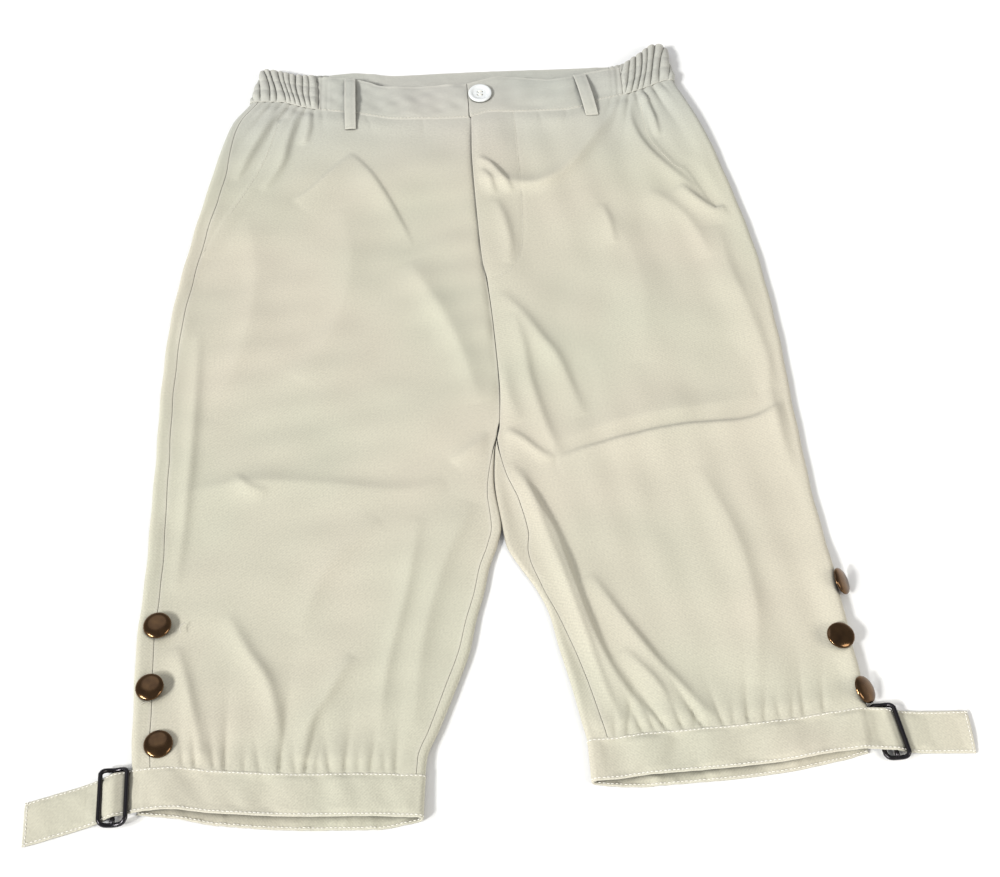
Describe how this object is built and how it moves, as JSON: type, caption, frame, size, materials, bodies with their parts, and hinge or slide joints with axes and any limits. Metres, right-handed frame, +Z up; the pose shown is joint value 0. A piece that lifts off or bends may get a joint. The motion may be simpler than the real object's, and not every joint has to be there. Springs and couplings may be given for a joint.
{
  "type": "knee breeches",
  "caption": "Cropped cotton twill trousers with gathered elastic waist sides, fly, belt loops, domed knee buttons and buckled knee bands, laid flat with the front up.",
  "frame": {"origin": "on the surface that the garment lies on, under the middle of its bounding box", "axes": "+Z up from that surface through the front of the garment, +Y towards the waist, +X towards the wearer's left leg"},
  "size_m": [0.645, 0.7031, 0.0169],
  "materials": {
    "twill": "matt cotton twill, pale stone",
    "dome": "polished dark bronze plating",
    "gunmetal": "dark grey plated wire, satin",
    "plastic": "off-white resin, semi-gloss"
  },
  "bodies": {
    "root": {"front_right": "twill", "front_left": "twill", "back_right": "twill", "back_left": "twill", "waistband_front_right": "twill", "waistband_front_left": "twill", "waistband_side_right": "twill", "waistband_side_left": "twill", "waistband_back": "twill", "belt_loop_right": "twill", "belt_loop_left": "twill", "knee_band_right": "twill", "knee_band_left": "twill", "waist_button": "plastic", "buckle_right": "gunmetal", "buckle_left": "gunmetal", "button_right_1": "dome", "button_right_2": "dome", "button_right_3": "dome", "button_left_1": "dome", "button_left_2": "dome", "button_left_3": "dome"}
  },
  "joints": []
}
